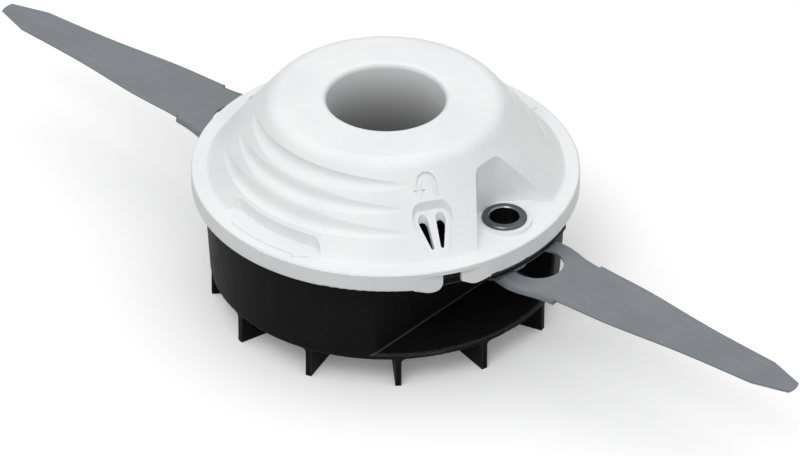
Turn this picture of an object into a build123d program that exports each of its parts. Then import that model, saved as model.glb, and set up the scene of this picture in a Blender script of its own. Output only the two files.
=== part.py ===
"""Blade trimmer head: fan base, wear cap, and two plastic blades on hollow steel pins.

Millimetres, +Z up, the ground side of the head on top. The origin is on the spin axis, level with the feet of
the fan fins. At rest the blades point along +X and -X.
"""

import os
from math import atan2, cos, degrees, radians, sin, sqrt, tan

from build123d import *

os.makedirs("parts", exist_ok=True)

# Fan base
fin_count = 12
fin_first_angle = 15.0
fin_height = 7.0
fin_thickness = 1.35
fin_set_back = 0.2
fin_root_flare = 0.9
floor_thickness = 1.5
bay_height = 17.7
deck_thickness = 2.0
seat_rise = 4.0
wall_taper = 1.4
wall_thickness = 2.0
plate_edge_round = 0.5
bay_clearance = 0.5
bay_end = 14.0
bay_inner_round = 2.0
bay_corner_round = 3.0
bay_end_round = 0.6
lip_set_back = 0.4
lip_front = 12.5
lip_thickness = 1.3
deck_set_back = 0.3
rib_count = 6
rib_thickness = 1.6

# Hub and spindle drive
hub_radius = 13.0
hub_foot = 1.2
spindle_recess_depth = 4.3
spindle_recess_radius = 9.8
spindle_radius = 4.1
bush_flats = 14.0
bush_flange_radius = 9.3
bush_flange_thickness = 1.5
web_height = 11.0
washer_radius = 12.0
washer_thickness = 2.0
washer_clearance = 0.2
nut_flats = 13.0
nut_height = 6.5
nut_thread_radius = 3.4
collar_wall = 2.0
collar_height = 3.8
spigot_step = 2.2
spigot_clearance = 0.15

# Wear cap
flange_radius = 43.0
flange_ledge = 3.5
cap_wall = 2.2
rim_height = 4.6
rim_wall = 1.6
rim_clearance = 1.0
rim_round = 0.5
dome_rise = 18.1
dome_run = 14.1
dome_shoulder_round = 4.6
dome_foot_round = 1.0
well_radius = 13.1
well_wall = 2.0
well_lip_round = 1.3

# Raised floors of the recesses in the dome's foot
recess_floor_rise = 1.0
recess_floor_slope = 5.0

# Pivot pins
pin_set_back = 5.3
pin_shank_radius = 4.2
pin_bore_radius = 3.3
pin_flange_radius = 4.95
pin_flange_thickness = 0.75
pin_foot_radius = 5.2
pin_foot_thickness = 1.7
pin_edge_bevel = 0.25
pin_hole_clearance = 0.05
pin_boss_radius = 6.5
pin_ring_radius = 6.0
pin_recess_back = 5.3
pin_recess_side = 6.4
pin_recess_angle = 47.0
pin_recess_round = 3.0

# Line pockets, one on each side of the dome, and the line notches in the rim below them
line_angle = -31.6
pocket_set_back = 0.7
pocket_length = 7.5
pocket_inner_half = 5.6
pocket_outer_half = 2.3
pocket_inner_round = 2.0
pocket_outer_round = 1.8
pocket_depth = 2.3
pocket_sill = 0.45
slot_wide_set_back = 5.9
slot_wide_side = 2.0
slot_wide_radius = 1.08
slot_narrow_set_back = 1.8
slot_narrow_side = 1.12
slot_narrow_radius = 0.38
notch_angle = -29.3
notch_width = 4.3
notch_roof = 1.3
skirt_set_back = 0.65
lobe_left_reach = 8.7
lobe_left_centre = 5.75
lobe_left_drop = 0.9
lobe_left_lift = 0.9
lobe_right_reach = 9.2
lobe_right_centre = 4.95
lobe_right_drop = 0.8
lobe_right_lift = 0.45

# Label recesses
label_angle = -91.2
label_half_angle = 20.7
label_depth = 2.8
label_corner_round = 3.0

# Grip waves
wave_count = 3
wave_first = 5.7
wave_pitch = 4.7
wave_depth = 0.65
wave_half_angle = 41.0

# Blades, lengths measured from the pin
blade_gap = 0.5
blade_foot_gap = 0.2
blade_thickness = 1.6
blade_edge_thickness = 0.3
blade_bevel_width = 1.45
blade_root_round = 1.15
blade_hole_bevel = 1.1
blade_reach = 81.0
blade_tip_half_width = 1.85
blade_tip_slant = 0.55
blade_tip_length = 9.2
blade_break_half_width = 4.6
blade_middle = 50.3
blade_middle_half_width = 5.95
blade_knee = 32.8
blade_knee_half_width = 7.8
blade_waist = 20.8
blade_waist_half_width = 8.35
blade_shoulder = 15.6
blade_shoulder_half_width = 9.05
blade_root_radius = 8.6
blade_eye = 9.5
blade_eye_radius = 10.2
blade_hole_radius = 5.8
blade_neck_half_width = 3.6
pin_play = 0.08

# Radii and distances that follow
rim_inner_radius = flange_radius - rim_wall
wall_top_radius = rim_inner_radius - rim_clearance
wall_foot_radius = wall_top_radius - wall_taper
fin_reach = wall_foot_radius - fin_set_back
lip_reach = flange_radius - lip_set_back
deck_reach = wall_top_radius - wall_taper * (seat_rise / (seat_rise + bay_height)) - deck_set_back
dome_foot_radius = flange_radius - flange_ledge
dome_corner_radius = dome_foot_radius - dome_run
recess_flat_radius = dome_foot_radius - recess_floor_slope
pocket_outer = dome_foot_radius - pocket_set_back
pocket_inner = pocket_outer - pocket_length
slot_wide_distance = pocket_outer - slot_wide_set_back
slot_narrow_distance = pocket_outer - slot_narrow_set_back
label_inner_radius = dome_foot_radius - label_depth
pin_distance = dome_foot_radius - pin_set_back
chord_distance = pin_distance - blade_eye_radius - bay_clearance
blade_eye_distance = pin_distance + blade_eye
blade_shoulder_distance = pin_distance + blade_shoulder
blade_waist_distance = pin_distance + blade_waist
blade_knee_distance = pin_distance + blade_knee
blade_middle_distance = pin_distance + blade_middle
blade_break = blade_reach - blade_tip_length
blade_break_distance = pin_distance + blade_break
blade_tip_distance = pin_distance + blade_reach

# Levels that follow
wall_foot = fin_height
floor_top = wall_foot + floor_thickness
deck_under = floor_top + bay_height
seat_level = deck_under + seat_rise
flange_top = seat_level + cap_wall
rim_bottom = flange_top - rim_height
plateau = flange_top + dome_rise
recess_floor = flange_top + recess_floor_rise
web_top = wall_foot + web_height
spigot_foot = web_top + spigot_step
collar_top = spigot_foot + collar_height
blade_top = deck_under - blade_gap
blade_bottom = blade_top - blade_thickness
spigot_radius = well_radius + well_wall
collar_bore = spigot_radius + spigot_clearance
collar_radius = collar_bore + collar_wall
slope_angle = atan2(dome_rise, dome_run)
slope_inset = cap_wall / sin(slope_angle) - cap_wall / tan(slope_angle)
far = 2 * flange_radius


def dome_radius(level):
    """Radius of the dome's straight flank at a level."""
    return dome_foot_radius - (level - flange_top) / tan(slope_angle)


def dome_level(radius):
    """Level of the dome's straight flank at a radius."""
    return flange_top + (dome_foot_radius - radius) * tan(slope_angle)


# Drive bush: the steel sleeve that the spindle turns, moulded into the hub
bush_foot = wall_foot - bush_flange_thickness
with BuildPart() as drive_bush:
    with BuildSketch(Plane.XY.offset(wall_foot)):
        RegularPolygon(bush_flats / 2, 6, major_radius=False)
    extrude(amount=web_height)
    with BuildSketch(Plane.XY.offset(bush_foot)):
        Circle(bush_flange_radius)
    extrude(amount=bush_flange_thickness)
    with BuildSketch(Plane.XY.offset(bush_foot)):
        Circle(spindle_radius)
    extrude(amount=bush_flange_thickness + web_height, mode=Mode.SUBTRACT)

# Clamp washer at the foot of the well
with BuildPart() as clamp_washer:
    with BuildSketch(Plane.XY.offset(web_top)):
        Circle(washer_radius)
        Circle(spindle_radius + washer_clearance, mode=Mode.SUBTRACT)
    extrude(amount=washer_thickness)

# Lock nut, its corners turned off at both ends
nut_foot = web_top + washer_thickness
nut_corner_radius = nut_flats / sqrt(3)
with BuildPart() as lock_nut:
    with BuildSketch(Plane.XY.offset(nut_foot)):
        RegularPolygon(nut_flats / 2, 6, major_radius=False)
        Circle(nut_thread_radius, mode=Mode.SUBTRACT)
    extrude(amount=nut_height)
    corner_cut = nut_corner_radius - nut_flats / 2
    with BuildSketch(Plane.XZ):
        with BuildLine():
            Polyline(
                (0, nut_foot),
                (nut_flats / 2, nut_foot),
                (nut_corner_radius, nut_foot + corner_cut / 2),
                (nut_corner_radius, nut_foot + nut_height - corner_cut / 2),
                (nut_flats / 2, nut_foot + nut_height),
                (0, nut_foot + nut_height),
                close=True,
            )
        make_face()
    revolve(axis=Axis.Z, mode=Mode.INTERSECT)

# One fan fin, drawn across its length with flared roots
with BuildPart() as fin:
    with BuildSketch(Plane.YZ.offset(hub_radius - fin_thickness)):
        with BuildLine():
            foot = Line((-fin_thickness / 2, 0), (fin_thickness / 2, 0))
            right = Line(foot @ 1, (fin_thickness / 2, fin_height - fin_root_flare))
            right_flare = JernArc(right @ 1, (0, 1), fin_root_flare, -90)
            left = Line(foot @ 0, (-fin_thickness / 2, fin_height - fin_root_flare))
            left_flare = JernArc(left @ 1, (0, 1), fin_root_flare, 90)
            Line(right_flare @ 1, left_flare @ 1)
        make_face()
    extrude(amount=fin_reach - hub_radius + fin_thickness)

# Drum wall, and the blade bays that it leaves open
wall_lean = (wall_top_radius - wall_foot_radius) / (seat_level - wall_foot)


def wall_radius(level):
    """Outer radius of the drum at a level."""
    return wall_foot_radius + wall_lean * (level - wall_foot)


def blade_bays(grow):
    """Plan of the two blade bays, grown into the walls round them."""
    back = chord_distance - grow
    end = bay_end + grow
    with BuildSketch() as bay:
        with BuildLine():
            Polyline((back, -far), (far, -far), (far, end), (back, end), close=True)
        shape = make_face()
        fillet(shape.vertices().sort_by_distance((back, end))[0], bay_inner_round)
    with BuildSketch() as plan:
        with PolarLocations(0, 2):
            add(bay.sketch)
    return plan.sketch


# Room inside the drum, round the collar and behind the bays' walls
with BuildPart() as drum_room:
    with BuildSketch(Plane.XZ):
        with BuildLine():
            Polyline(
                (0, floor_top),
                (wall_radius(floor_top) - wall_thickness, floor_top),
                (wall_radius(seat_level) - wall_thickness, seat_level),
                (0, seat_level),
                close=True,
            )
        make_face()
    revolve(axis=Axis.Z)
    with BuildSketch(Plane.XY.offset(floor_top)):
        add(blade_bays(wall_thickness))
    extrude(amount=seat_level - floor_top, mode=Mode.SUBTRACT)
    with BuildSketch(Plane.XY.offset(floor_top)):
        Circle(collar_radius)
        with PolarLocations(0, rib_count, start_angle=180 / rib_count):
            with Locations((wall_top_radius / 2, 0)):
                Rectangle(wall_top_radius, rib_thickness)
    extrude(amount=collar_top - floor_top, mode=Mode.SUBTRACT)

# Room above each deck, around the pin's boss
deck_top = deck_under + deck_thickness
with BuildPart() as deck_room:
    with BuildSketch(Plane.XZ):
        with BuildLine():
            Polyline(
                (0, deck_top),
                (wall_radius(deck_top) - wall_thickness, deck_top),
                (wall_radius(seat_level) - wall_thickness, seat_level),
                (0, seat_level),
                close=True,
            )
        make_face()
    revolve(axis=Axis.Z)
    with BuildSketch(Plane.XY.offset(deck_top)):
        add(blade_bays(0))
        with Locations((pin_distance, 0), (-pin_distance, 0)):
            Circle(pin_boss_radius, mode=Mode.SUBTRACT)
    extrude(amount=seat_level - deck_top, mode=Mode.INTERSECT)

# Drum wall above the floor plate, flat behind and beside the two open blade bays
wall_start = floor_top - 1.5 * plate_edge_round
with BuildPart() as bay_walls:
    with BuildSketch(Plane.XZ):
        with BuildLine():
            Polyline(
                (0, wall_start),
                (wall_radius(wall_start), wall_start),
                (wall_top_radius, seat_level),
                (0, seat_level),
                close=True,
            )
        make_face()
    revolve(axis=Axis.Z)
    with BuildSketch(Plane.XY.offset(wall_start)):
        add(blade_bays(0))
    extrude(amount=seat_level - wall_start, mode=Mode.SUBTRACT)
    front_edges = bay_walls.edges().filter_by(
        lambda edge: edge.bounding_box().size.Z > bay_height and edge.center().X * edge.center().Y < -bay_end
    )
    fillet(front_edges, bay_corner_round)
    end_edges = bay_walls.edges().filter_by(
        lambda edge: edge.bounding_box().size.Z > bay_height
        and abs(edge.center().X) > pin_distance
        and edge.center().X * edge.center().Y > 0
    )
    fillet(end_edges, bay_end_round)

# Fan base: floor plate, walls, decks, hub and fins
with BuildPart() as base_housing:
    with BuildSketch(Plane.XZ):
        with BuildLine():
            Polyline(
                (0, wall_foot),
                (wall_foot_radius, wall_foot),
                (wall_radius(floor_top), floor_top),
                (0, floor_top),
                close=True,
            )
        plate = make_face()
        fillet(plate.vertices().sort_by(Axis.X)[-2:], plate_edge_round)
    revolve(axis=Axis.Z)
    add(bay_walls.part)
    with BuildSketch(Plane.XY.offset(deck_under)):
        Circle(deck_reach)
        add(blade_bays(0), mode=Mode.INTERSECT)
    extrude(amount=seat_rise)
    add(drum_room.part, mode=Mode.SUBTRACT)
    add(deck_room.part, mode=Mode.SUBTRACT)
    with BuildSketch(Plane.XY.offset(deck_under)):
        Circle(lip_reach)
        with PolarLocations(0, 2):
            with Locations((pin_distance, (bay_end - lip_front) / 2)):
                Rectangle(2 * (pin_distance - chord_distance), bay_end + lip_front, mode=Mode.INTERSECT)
    extrude(amount=lip_thickness)
    with BuildSketch(Plane.XY.offset(hub_foot)):
        Circle(hub_radius)
    extrude(amount=floor_top - hub_foot)
    with PolarLocations(0, fin_count, start_angle=fin_first_angle):
        add(fin.part)
    with BuildSketch(Plane.XY.offset(hub_foot)):
        Circle(spindle_recess_radius)
    extrude(amount=spindle_recess_depth, mode=Mode.SUBTRACT)
    add(drive_bush.part, mode=Mode.SUBTRACT)
    with BuildSketch(Plane.XY.offset(hub_foot)):
        Circle(spindle_radius)
    extrude(amount=web_top, mode=Mode.SUBTRACT)
    with BuildSketch(Plane.XY.offset(web_top)):
        Circle(well_radius)
    extrude(amount=collar_top - web_top, mode=Mode.SUBTRACT)
    with BuildSketch(Plane.XY.offset(spigot_foot)):
        Circle(collar_bore)
    extrude(amount=collar_top - spigot_foot, mode=Mode.SUBTRACT)
    with BuildSketch(Plane.XY.offset(deck_under)):
        with Locations((pin_distance, 0), (-pin_distance, 0)):
            Circle(pin_shank_radius + pin_hole_clearance)
    extrude(amount=seat_level - deck_under, mode=Mode.SUBTRACT)
    with BuildSketch(Plane.XY.offset(deck_top)):
        with PolarLocations(0, 2, start_angle=notch_angle):
            with Locations((wall_top_radius, 0)):
                Rectangle(4 * wall_thickness, notch_width)
    extrude(amount=seat_level - deck_top, mode=Mode.SUBTRACT)

# Floors of the recesses: everything above a flat ring that slopes down to the flange


def above_recess_floor(drop):
    """Turned solid of all that lies above the recess floors, lowered by drop."""
    with BuildPart() as above:
        with BuildSketch(Plane.XZ):
            with BuildLine():
                Polyline(
                    (well_radius, recess_floor - drop),
                    (recess_flat_radius, recess_floor - drop),
                    (dome_foot_radius + 0.2, flange_top - drop),
                    (far, flange_top - drop),
                    (far, plateau + far),
                    (well_radius, plateau + far),
                    close=True,
                )
            make_face()
        revolve(axis=Axis.Z)
    return above.part


def above_pocket_floor(drop):
    """Turned solid of all that lies above the line pockets' floor, lowered by drop."""
    inner_level = dome_level(pocket_inner) - pocket_depth - drop
    outer_level = dome_level(pocket_outer) - pocket_sill - drop
    with BuildPart() as above:
        with BuildSketch(Plane.XZ):
            with BuildLine():
                Polyline(
                    (well_radius + well_wall, inner_level),
                    (pocket_inner, inner_level),
                    (pocket_outer, outer_level),
                    (far, outer_level),
                    (far, plateau + far),
                    (well_radius + well_wall, plateau + far),
                    close=True,
                )
            make_face()
        revolve(axis=Axis.Z)
    return above.part


def pin_recesses(grow):
    """Plan of the two recesses round the pins, grown outwards."""
    angle = radians(pin_recess_angle)
    back = pin_distance - pin_recess_back - grow
    side = pin_recess_side + grow
    corner = (side - (pin_recess_back + grow) * sin(angle)) / cos(angle)
    mouth = corner + (far - back) * tan(angle)
    with BuildSketch() as plan:
        with BuildLine():
            Polyline((back, corner), (far, mouth), (far, -mouth), (back, -corner), close=True)
        shape = make_face()
        fillet(shape.vertices().sort_by(Axis.X)[:2], pin_recess_round)
    return plan.sketch


def label_recess(grow):
    """Plan of one label recess, centred on +X and grown outwards."""
    inner = label_inner_radius - grow
    half = label_half_angle + degrees(grow / inner)
    with BuildSketch() as plan:
        with BuildLine():
            near_arc = CenterArc((0, 0), inner, -half, 2 * half)
            far_arc = CenterArc((0, 0), far, -half, 2 * half)
            Line(near_arc @ 0, far_arc @ 0)
            Line(near_arc @ 1, far_arc @ 1)
        shape = make_face()
        fillet(shape.vertices().sort_by(Axis.X)[:2], label_corner_round)
    return plan.sketch


def line_pocket(grow):
    """Plan of one line pocket, centred on +X and grown outwards."""
    with BuildSketch() as plan:
        with BuildLine():
            Polyline(
                (pocket_inner - grow, pocket_inner_half + grow),
                (pocket_inner - grow, -pocket_inner_half - grow),
                (pocket_outer + grow, -pocket_outer_half - grow),
                (pocket_outer + grow, pocket_outer_half + grow),
                close=True,
            )
        shape = make_face()
        fillet(shape.vertices().sort_by(Axis.X)[:2], pocket_inner_round)
        fillet(shape.vertices().sort_by(Axis.X)[-2:], pocket_outer_round)
    return plan.sketch


def line_slot(side):
    """Plan of one teardrop slot in a line pocket, on one side of the pocket's middle."""
    with BuildSketch() as plan:
        with Locations((slot_wide_distance, side * slot_wide_side)):
            Circle(slot_wide_radius)
        with Locations((slot_narrow_distance, side * slot_narrow_side)):
            Circle(slot_narrow_radius)
        make_hull()
    return plan.sketch


def foot_recess_block(grow):
    """Solid that the pin and label recesses take out, grown by grow."""
    with BuildPart() as block:
        with BuildSketch(Plane.XY.offset(rim_bottom)):
            with PolarLocations(0, 2):
                add(pin_recesses(grow))
            with PolarLocations(0, 2, start_angle=label_angle):
                add(label_recess(grow))
        extrude(amount=plateau)
        add(above_recess_floor(grow), mode=Mode.INTERSECT)
    return block.part


def pocket_block(grow):
    """Solid that the line pockets take out, grown by grow."""
    with BuildPart() as block:
        with BuildSketch(Plane.XY.offset(rim_bottom)):
            with PolarLocations(0, 2, start_angle=line_angle):
                add(line_pocket(grow))
        extrude(amount=plateau)
        add(above_pocket_floor(grow), mode=Mode.INTERSECT)
    return block.part


# Hollow under the dome, less the walls that the recesses need
with BuildPart() as dome_room:
    with BuildSketch(Plane.XZ):
        with BuildLine():
            Polyline(
                (spigot_radius, 0),
                (spigot_radius, plateau - cap_wall),
                (dome_corner_radius - slope_inset, plateau - cap_wall),
                (dome_foot_radius - slope_inset, seat_level),
                (rim_inner_radius, seat_level),
                (rim_inner_radius, 0),
                close=True,
            )
        room = make_face()
        fillet(room.vertices().group_by(Axis.Y)[-1].sort_by(Axis.X)[-1:], dome_shoulder_round - cap_wall)
    revolve(axis=Axis.Z)
    add(foot_recess_block(cap_wall), mode=Mode.SUBTRACT)
    add(pocket_block(cap_wall), mode=Mode.SUBTRACT)
    with BuildSketch(Plane.XY.offset(seat_level)):
        with Locations((pin_distance, 0), (-pin_distance, 0)):
            Circle(pin_boss_radius)
    extrude(amount=cap_wall + recess_floor_rise, mode=Mode.SUBTRACT)

# Three grip waves, turned about an axis set off away from them so that they fade at both ends
wave_offset = wave_depth / (1 - cos(radians(wave_half_angle)))
wave_crest = wave_depth / 12


def wave_point(along, depth):
    """Point of the wave profile, measured down the flank from the dome's corner."""
    radius = dome_corner_radius + along * cos(slope_angle) - depth * sin(slope_angle)
    level = plateau - along * sin(slope_angle) - depth * cos(slope_angle)
    return (radius + wave_offset, level)


wave_marks = [wave_point(wave_first - wave_pitch / 2, -wave_crest)]
for wave in range(wave_count):
    trough = wave_first + wave * wave_pitch
    crest_depth = wave_crest if wave < wave_count - 1 else -wave_crest
    wave_marks.append(wave_point(trough, wave_depth))
    wave_marks.append(wave_point(trough + wave_pitch / 2, crest_depth))
wave_stand_off = 3 * wave_depth
with BuildPart() as waves:
    with BuildSketch(Plane.XZ):
        with BuildLine():
            ripple = Spline(*wave_marks)
            out_low = wave_point(wave_first + (wave_count - 0.5) * wave_pitch, -wave_stand_off)
            out_high = wave_point(wave_first - wave_pitch / 2, -wave_stand_off)
            Polyline(ripple @ 1, out_low, out_high, ripple @ 0)
        make_face()
    revolve(axis=Axis.Z)

# Skirt of the rim on both sides of a line notch, drawn in the plane that the notch faces
notch_level = flange_top - notch_roof
half_notch = notch_width / 2
with BuildPart() as skirts:
    with BuildSketch(Plane.YZ.offset(chord_distance)):
        with BuildLine():
            left_sweep = Spline(
                (-lobe_left_reach, rim_bottom),
                (-lobe_left_centre, rim_bottom - lobe_left_drop),
                (-half_notch, rim_bottom + lobe_left_lift),
                tangents=((1, -0.1), (0.1, 1)),
            )
            Polyline(
                left_sweep @ 1,
                (-half_notch, notch_level),
                (-lobe_left_reach, notch_level),
                left_sweep @ 0,
            )
        make_face()
        with BuildLine():
            right_sweep = Spline(
                (half_notch, rim_bottom + lobe_right_lift),
                (lobe_right_centre, rim_bottom - lobe_right_drop),
                (lobe_right_reach, rim_bottom),
                tangents=((1, -0.4), (1, 0.1)),
            )
            Polyline(
                right_sweep @ 1,
                (lobe_right_reach, notch_level),
                (half_notch, notch_level),
                right_sweep @ 0,
            )
        make_face()
    extrude(amount=flange_radius - skirt_set_back - chord_distance)
    with BuildSketch(Plane.XY.offset(deck_under)):
        Circle(flange_radius)
        Circle(rim_inner_radius, mode=Mode.SUBTRACT)
    extrude(amount=flange_top - deck_under, mode=Mode.INTERSECT)

# Wear cap: rim, dome, well and all that is let into them
with BuildPart() as wear_cap:
    with BuildSketch(Plane.XZ) as cap_section:
        with BuildLine():
            Polyline(
                (well_radius, spigot_foot),
                (well_radius, plateau),
                (dome_corner_radius, plateau),
                (dome_foot_radius, flange_top),
                (flange_radius, flange_top),
                (flange_radius, rim_bottom),
                (spigot_radius, rim_bottom),
                (spigot_radius, spigot_foot),
                close=True,
            )
        make_face()
        fillet(cap_section.vertices().group_by(Axis.Y)[-1].sort_by(Axis.X)[-1], dome_shoulder_round)
        fillet(cap_section.vertices().group_by(Axis.Y)[-1].sort_by(Axis.X)[0], well_lip_round)
        rim_corners = cap_section.vertices().group_by(Axis.X)[-1]
        fillet(rim_corners, rim_round)
        fillet(cap_section.vertices().sort_by_distance((dome_foot_radius, flange_top))[0], dome_foot_round)
    revolve(axis=Axis.Z)
    with PolarLocations(0, 2, start_angle=-90):
        with Locations((-wave_offset, 0)):
            add(waves.part, mode=Mode.SUBTRACT)
    add(foot_recess_block(0), mode=Mode.SUBTRACT)
    add(pocket_block(0), mode=Mode.SUBTRACT)
    add(dome_room.part, mode=Mode.SUBTRACT)
    with BuildSketch(Plane.XY.offset(rim_bottom)):
        with PolarLocations(0, 2, start_angle=notch_angle):
            with Locations((flange_radius, (lobe_right_reach - lobe_left_reach) / 2)):
                Rectangle(4 * rim_wall, lobe_right_reach + lobe_left_reach)
        Circle(rim_inner_radius, mode=Mode.SUBTRACT)
    extrude(amount=notch_level - rim_bottom, mode=Mode.SUBTRACT)
    with PolarLocations(0, 2, start_angle=notch_angle):
        add(skirts.part)
    with BuildSketch(Plane.XY.offset(seat_level)):
        with Locations((pin_distance, 0), (-pin_distance, 0)):
            Circle(pin_ring_radius)
    extrude(amount=recess_floor - seat_level)
    with BuildSketch(Plane.XY.offset(seat_level)):
        with Locations((pin_distance, 0), (-pin_distance, 0)):
            Circle(pin_shank_radius + pin_hole_clearance)
        with PolarLocations(0, 2, start_angle=line_angle):
            add(line_slot(1))
            add(line_slot(-1))
    extrude(amount=plateau - seat_level, mode=Mode.SUBTRACT)

# Hollow steel pivot pin, turned, with a flange at each end
pin_foot_top = blade_bottom - blade_foot_gap
pin_foot_level = pin_foot_top - pin_foot_thickness
with BuildPart() as pivot_pin:
    with BuildSketch(Plane.XZ):
        with BuildLine():
            Polyline(
                (pin_bore_radius, pin_foot_level),
                (pin_foot_radius, pin_foot_level),
                (pin_foot_radius, pin_foot_top),
                (pin_shank_radius, pin_foot_top),
                (pin_shank_radius, recess_floor),
                (pin_flange_radius, recess_floor),
                (pin_flange_radius, recess_floor + pin_flange_thickness),
                (pin_bore_radius, recess_floor + pin_flange_thickness),
                close=True,
            )
        pin_face = make_face()
        chamfer(pin_face.vertices().group_by(Axis.Y)[0], pin_edge_bevel)
        chamfer(pin_face.vertices().group_by(Axis.Y)[-1], pin_edge_bevel)
    revolve(axis=Axis.Z)


# Plan of the blade along +X: root, eye, shoulder, and an arm that narrows to a blunt, slightly slanted tip
with BuildSketch() as blade_plan:
    with BuildLine():
        tip = ThreePointArc(
            (blade_tip_distance - blade_tip_slant / 3, -blade_tip_half_width),
            (blade_tip_distance, -blade_tip_half_width / 3),
            (blade_tip_distance - blade_tip_slant, blade_tip_half_width),
        )
        far_bevel = Line(tip @ 1, (blade_break_distance, blade_break_half_width))
        near_bevel = Line(tip @ 0, (blade_break_distance, -blade_break_half_width))
        arm = Spline(
            far_bevel @ 1,
            (blade_middle_distance, blade_middle_half_width),
            (blade_knee_distance, blade_knee_half_width),
            (blade_waist_distance, blade_waist_half_width),
            (blade_shoulder_distance, blade_shoulder_half_width),
            (blade_eye_distance, blade_eye_radius),
            tangents=((-1, 0.05), (-1, 0)),
        )
        mirror(arm, about=Plane.XZ)
        Line(arm @ 1, (blade_eye_distance, -blade_eye_radius))
    make_face()
    with BuildSketch(mode=Mode.PRIVATE) as root_plan:
        with Locations((pin_distance, 0)):
            Circle(blade_root_radius)
        with Locations((blade_eye_distance, 0)):
            Circle(blade_eye_radius)
        make_hull()
    add(root_plan.sketch)

# Root half of the blade, its upper edge well rounded as far as the waist
with BuildPart() as blade_root:
    with BuildSketch(Plane.XY.offset(blade_bottom)):
        add(blade_plan.sketch)
        with Locations((blade_waist_distance - far / 2, 0)):
            Rectangle(far, far, mode=Mode.INTERSECT)
    extrude(amount=blade_thickness)
    root_outline = blade_root.faces().sort_by(Axis.Z)[-1].edges().sort_by(Axis.X)[:-1]
    fillet(root_outline, blade_root_round)

# Blade: the arm is bevelled to a thin edge from below, and the root has a keyhole that hooks over the pin
with BuildPart() as blade:
    with BuildSketch(Plane.XY.offset(blade_bottom)):
        add(blade_plan.sketch)
        with Locations((blade_waist_distance + far, 0)):
            Rectangle(2 * far, far, mode=Mode.INTERSECT)
    extrude(amount=blade_thickness)
    arm_face = blade.faces().sort_by(Axis.Z)[0]
    arm_outline = arm_face.edges().sort_by(Axis.X)[1:]
    bevel_height = blade_thickness - blade_edge_thickness
    chamfer(arm_outline, length=blade_bevel_width, length2=bevel_height, reference=arm_face)
    add(blade_root.part)
    with BuildSketch(Plane.XY.offset(blade_bottom)):
        with Locations((pin_distance, 0)):
            Circle(pin_shank_radius + pin_play)
        with Locations((blade_eye_distance, 0)):
            Circle(blade_hole_radius)
        with Locations(((pin_distance + blade_eye_distance) / 2, 0)):
            Rectangle(blade_eye_distance - pin_distance, 2 * blade_neck_half_width)
    extrude(amount=blade_thickness, mode=Mode.SUBTRACT)
    with Locations((blade_eye_distance, 0, blade_bottom)):
        Cone(
            blade_hole_radius + blade_hole_bevel,
            blade_hole_radius,
            blade_hole_bevel,
            align=(Align.CENTER, Align.CENTER, Align.MIN),
            mode=Mode.SUBTRACT,
        )

# Both pins and both blades in place
half_turn = Location((0, 0, 0), (0, 0, 180))
with BuildPart() as pivot_pin_1:
    with Locations((pin_distance, 0)):
        add(pivot_pin.part)
with BuildPart() as pivot_pin_2:
    with Locations(half_turn):
        add(pivot_pin_1.part)
with BuildPart() as blade_1:
    add(blade.part)
with BuildPart() as blade_2:
    with Locations(half_turn):
        add(blade.part)

drive_bush.part.label = "drive_bush"
clamp_washer.part.label = "clamp_washer"
lock_nut.part.label = "lock_nut"
base_housing.part.label = "base_housing"
wear_cap.part.label = "wear_cap"
pivot_pin_1.part.label = "pivot_pin_1"
pivot_pin_2.part.label = "pivot_pin_2"
blade_1.part.label = "blade_1"
blade_2.part.label = "blade_2"

export_step(drive_bush.part, "parts/drive_bush.step")
export_step(clamp_washer.part, "parts/clamp_washer.step")
export_step(lock_nut.part, "parts/lock_nut.step")
export_step(base_housing.part, "parts/base_housing.step")
export_step(wear_cap.part, "parts/wear_cap.step")
export_step(pivot_pin_1.part, "parts/pivot_pin_1.step")
export_step(pivot_pin_2.part, "parts/pivot_pin_2.step")
export_step(blade_1.part, "parts/blade_1.step")
export_step(blade_2.part, "parts/blade_2.step")
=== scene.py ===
"""Blade trimmer head: moulded and turned finishes, arrows on the cap, and a plain pale studio."""

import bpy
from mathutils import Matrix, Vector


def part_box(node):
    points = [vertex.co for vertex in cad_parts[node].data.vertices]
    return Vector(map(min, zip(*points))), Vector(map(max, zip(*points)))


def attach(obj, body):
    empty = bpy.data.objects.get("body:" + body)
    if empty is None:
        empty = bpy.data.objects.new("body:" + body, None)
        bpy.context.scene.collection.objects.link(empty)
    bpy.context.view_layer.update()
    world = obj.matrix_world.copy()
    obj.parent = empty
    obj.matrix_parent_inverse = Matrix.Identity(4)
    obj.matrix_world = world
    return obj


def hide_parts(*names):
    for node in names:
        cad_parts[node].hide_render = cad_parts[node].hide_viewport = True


bl_info = {
    "name": "Blade Trimmer Head",
    "version": (1, 0, 0),
    "blender": (4, 5, 0),
    "location": "View3D > Sidebar > Trimmer Head",
    "description": "Finishes a trimmer head's pieces, adds its arrows and sets up a plain studio",
    "category": "Object",
}

from math import atan2, cos, pi, radians, sin

import bmesh
import bpy
from bpy.props import FloatProperty, FloatVectorProperty, IntProperty, PointerProperty
from mathutils import Matrix, Vector

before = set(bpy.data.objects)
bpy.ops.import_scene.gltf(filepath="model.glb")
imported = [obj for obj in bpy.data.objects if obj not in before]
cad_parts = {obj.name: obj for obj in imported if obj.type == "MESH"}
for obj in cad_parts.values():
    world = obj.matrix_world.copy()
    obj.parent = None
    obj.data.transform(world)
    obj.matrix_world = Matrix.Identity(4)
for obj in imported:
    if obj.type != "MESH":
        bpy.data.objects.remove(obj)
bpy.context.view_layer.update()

MM = 0.001
NYLON_IOR = 1.50
MERGE_REACH = 1e-7
SHARP_ANGLE = radians(32)
BEVEL_ANGLE = radians(40)
ARCH_STEPS = 24
SPIN_STEPS = 24
FLOOR_REACH = 6.0

# The photograph's frame and the place of the flange's centre in it, in pixels
FRAME_WIDTH = 800.0
FRAME_HEIGHT = 456.0
FLANGE_SEEN_AT = (385.67, 164.75)
SENSOR_WIDTH = 36.0


# Sizes and colours


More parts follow.
